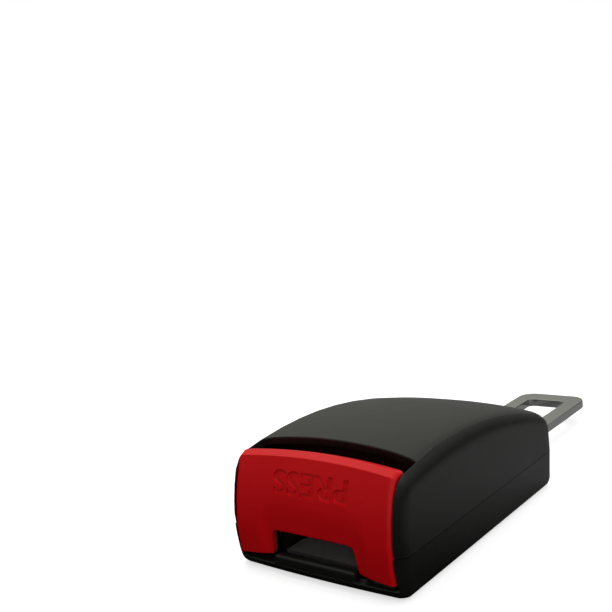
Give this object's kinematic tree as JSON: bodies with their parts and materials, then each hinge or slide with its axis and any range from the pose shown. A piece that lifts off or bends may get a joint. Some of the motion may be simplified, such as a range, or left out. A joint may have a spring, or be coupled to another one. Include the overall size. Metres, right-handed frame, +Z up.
{
  "type": "seat belt extender",
  "caption": "Short seat belt buckle with a push button and open mouth at one end and its own plated steel tongue at the other.",
  "frame": {"origin": "middle of the underside, at the bottom centre of the whole object's box", "axes": "+X across the body, +Y from the button end to the tongue's tip, +Z up"},
  "size_m": [0.0464, 0.1279, 0.029],
  "materials": {
    "black_abs": "moulded black ABS with a fine matt texture",
    "red_abs": "moulded red ABS, satin gloss",
    "nickel_plated_steel": "bright nickel plate over stamped steel",
    "zinc_plated_steel": "zinc plated pressed sheet",
    "spring_steel": "drawn spring wire",
    "black_acetal": "moulded black acetal"
  },
  "bodies": {
    "housing": {"upper_cover": "black_abs", "lower_cover": "black_abs", "tongue_blade": "nickel_plated_steel", "buckle_frame": "zinc_plated_steel", "rivet_left": "nickel_plated_steel", "rivet_right": "nickel_plated_steel", "latch_pin": "nickel_plated_steel", "latch_pin_clip": "spring_steel", "button_spring_left": "spring_steel", "button_spring_right": "spring_steel", "latch_spring": "spring_steel", "ejector_spring": "spring_steel"},
    "button": {"press_button": "red_abs", "release_pin": "nickel_plated_steel"},
    "latch": {"latch_plate": "zinc_plated_steel"},
    "ejector": {"ejector": "black_acetal"}
  },
  "joints": [
    {"name": "button_press", "type": "slide", "parent": "housing", "child": "button", "axis": [0, 1, 0], "range_m": [0, 0.003], "stiffness_N_per_m": 200, "springref_m": -0.001, "deforming": ["button_spring_left", "button_spring_right"]},
    {"name": "latch_pivot", "type": "hinge", "parent": "housing", "child": "latch", "pos_m": [0, -0.0135, 0.012], "axis": [1, 0, 0], "range_deg": [-11.2, 0], "deforming": ["latch_spring"]},
    {"name": "ejector_slide", "type": "slide", "parent": "housing", "child": "ejector", "axis": [0, 1, 0], "range_m": [0, 0.012], "stiffness_N_per_m": 60, "springref_m": -0.002, "deforming": ["ejector_spring"]}
  ],
  "couplings": [
    {"joint": "latch_pivot", "follows": "button_press", "rad_per_m": -63.99}
  ]
}
